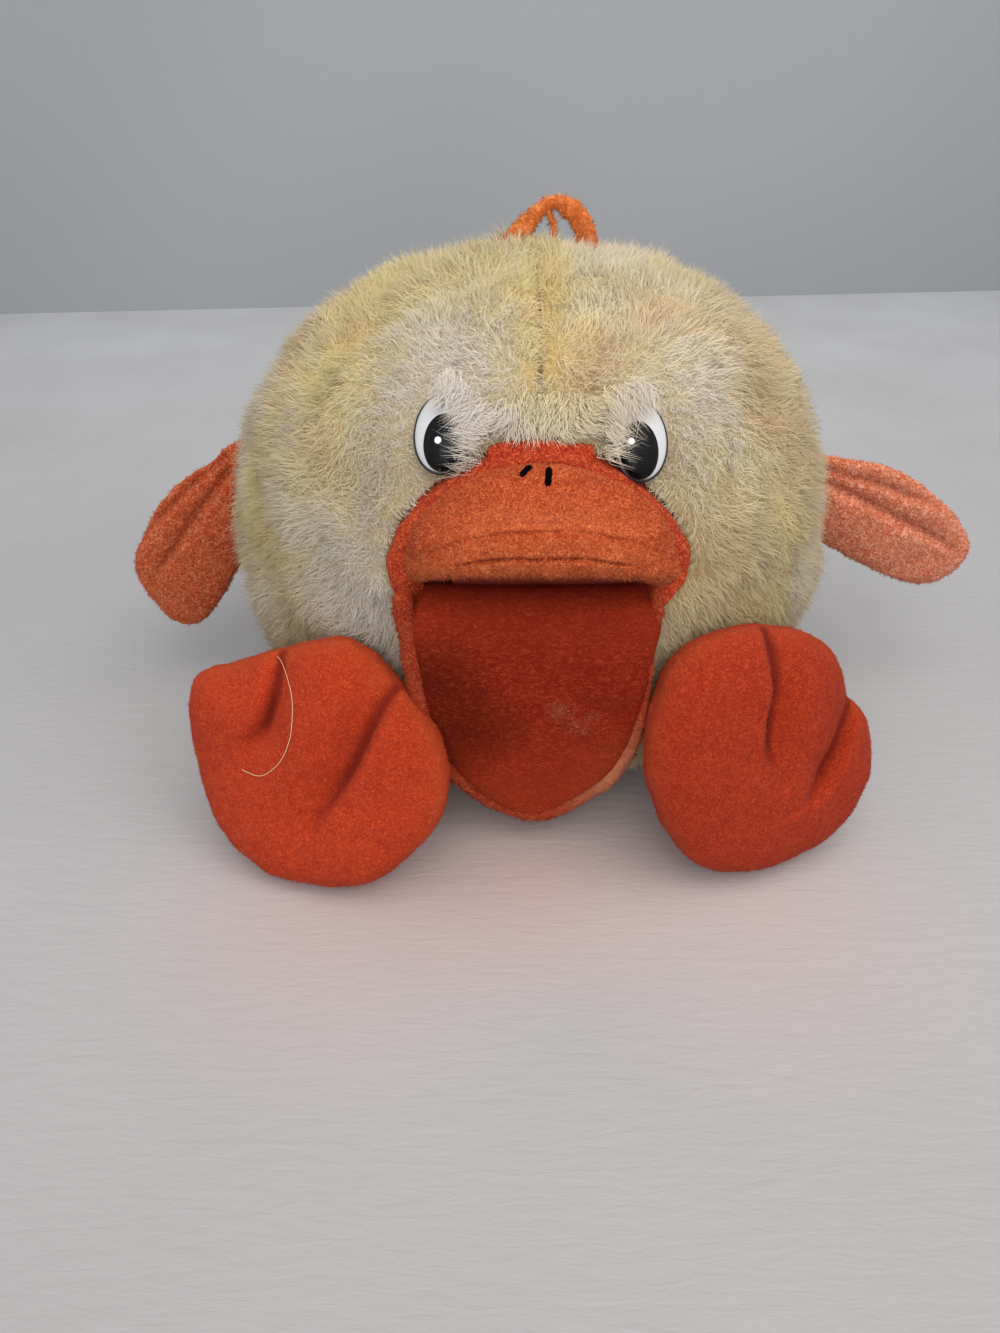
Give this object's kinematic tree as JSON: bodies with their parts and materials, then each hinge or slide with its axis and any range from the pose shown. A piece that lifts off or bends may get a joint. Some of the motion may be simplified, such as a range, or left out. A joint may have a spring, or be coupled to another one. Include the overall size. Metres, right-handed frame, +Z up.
{
  "type": "duck hand puppet",
  "caption": "Round plush duck hand puppet with a padded bill that opens, a hanging lower bill, wings, feet, a crown loop and a press-button music box under the palm.",
  "frame": {"origin": "middle of the flat base that the duck sits on", "axes": "+Z up; the duck faces -Y, so its own left side is at +X"},
  "size_m": [0.3807, 0.2231, 0.2208],
  "materials": {
    "fur": "long plush pile, cream with yellow and white patches",
    "seat_cloth": "short plush cloth",
    "filling": "loose polyester fibre",
    "lining": "plain woven lining",
    "velour": "brushed velour, orange, worn at the edges",
    "wing_cloth": "looped terry, pale orange, worn",
    "mouth_cloth": "brushed velour, deep red-orange",
    "thread": "black embroidery thread",
    "loop_tape": "brushed orange tape",
    "foam": "soft foam",
    "eye_white": "glossy white plastic",
    "eye_black": "glossy black plastic",
    "washer": "natural plastic",
    "case_plastic": "moulded white plastic",
    "button_plastic": "moulded red plastic",
    "board": "green circuit board",
    "steel": "plated steel",
    "rubber": "moulded silicone rubber"
  },
  "bodies": {
    "root": {"fur_front_left": "fur", "fur_front_right": "fur", "fur_back_left": "fur", "fur_back_right": "fur", "seat_panel": "seat_cloth", "body_fill": "filling", "hand_sleeve": "lining", "cuff_hem": "lining", "box_pouch": "lining", "mouth_collar": "velour", "left_eye_base": "eye_black", "left_eye_pupil": "eye_black", "left_eye_white": "eye_white", "left_eye_washer": "washer", "right_eye_base": "eye_black", "right_eye_pupil": "eye_black", "right_eye_white": "eye_white", "right_eye_washer": "washer", "music_box_cup": "case_plastic", "music_box_lid": "case_plastic", "button_dome": "rubber", "music_board": "board", "speaker_frame": "steel", "speaker_magnet": "steel", "button_cell_1": "steel", "button_cell_2": "steel", "button_cell_3": "steel", "box_screw_1": "steel", "box_screw_2": "steel", "box_screw_3": "steel", "speaker_cone": "thread"},
    "upper_bill": {"bill_cover": "velour", "bill_pad": "foam", "bill_palate": "mouth_cloth", "bill_lip": "velour", "left_nostril_stitch": "thread", "right_nostril_stitch": "thread"},
    "lower_bill": {"jaw_cover": "velour", "jaw_foam": "foam", "jaw_lining": "mouth_cloth", "jaw_rim": "velour"},
    "left_wing": {"left_wing_front_cover": "wing_cloth", "left_wing_back_cover": "wing_cloth", "left_wing_padding": "filling"},
    "right_wing": {"right_wing_front_cover": "wing_cloth", "right_wing_back_cover": "wing_cloth", "right_wing_padding": "filling"},
    "left_foot": {"left_foot_sole": "velour", "left_foot_instep": "velour", "left_foot_stuffing": "filling", "left_leg": "velour"},
    "right_foot": {"right_foot_sole": "velour", "right_foot_instep": "velour", "right_foot_stuffing": "filling", "right_leg": "velour"},
    "loop": {"hanging_loop": "loop_tape"},
    "button": {"music_button": "button_plastic"}
  },
  "joints": [
    {"name": "upper_bill_lift", "type": "hinge", "parent": "root", "child": "upper_bill", "pos_m": [0, -0.085, 0.161], "axis": [-1, 0, 0], "range_deg": [-4, 12], "stiffness_Nm_per_rad": 0.12},
    {"name": "lower_bill_close", "type": "hinge", "parent": "root", "child": "lower_bill", "pos_m": [0, -0.09616, 0.117], "axis": [-1, 0, 0], "range_deg": [0, 63]},
    {"name": "left_wing_swing", "type": "hinge", "parent": "root", "child": "left_wing", "pos_m": [0.11044, 0.022, 0.1], "axis": [0, 0, 1], "range_deg": [-35, 35], "stiffness_Nm_per_rad": 0.03},
    {"name": "right_wing_swing", "type": "hinge", "parent": "root", "child": "right_wing", "pos_m": [-0.11044, 0.022, 0.1], "axis": [0, 0, -1], "range_deg": [-35, 35], "stiffness_Nm_per_rad": 0.03},
    {"name": "left_foot_flop", "type": "hinge", "parent": "root", "child": "left_foot", "pos_m": [0.06124, -0.07927, 0.0298], "axis": [0.9397, 0.342, 0], "range_deg": [0, 35], "stiffness_Nm_per_rad": 0.2},
    {"name": "right_foot_flop", "type": "hinge", "parent": "root", "child": "right_foot", "pos_m": [-0.06124, -0.07927, 0.0298], "axis": [0.9397, -0.342, 0], "range_deg": [0, 35], "stiffness_Nm_per_rad": 0.2},
    {"name": "loop_fold", "type": "hinge", "parent": "root", "child": "loop", "pos_m": [0.005, 0.022, 0.20743], "axis": [1, 0, 0], "range_deg": [-40, 40], "stiffness_Nm_per_rad": 0.004},
    {"name": "button_press", "type": "slide", "parent": "root", "child": "button", "axis": [0, 0, -1], "range_m": [0, 0.001], "stiffness_N_per_m": 400, "deforming": ["button_dome"]}
  ]
}
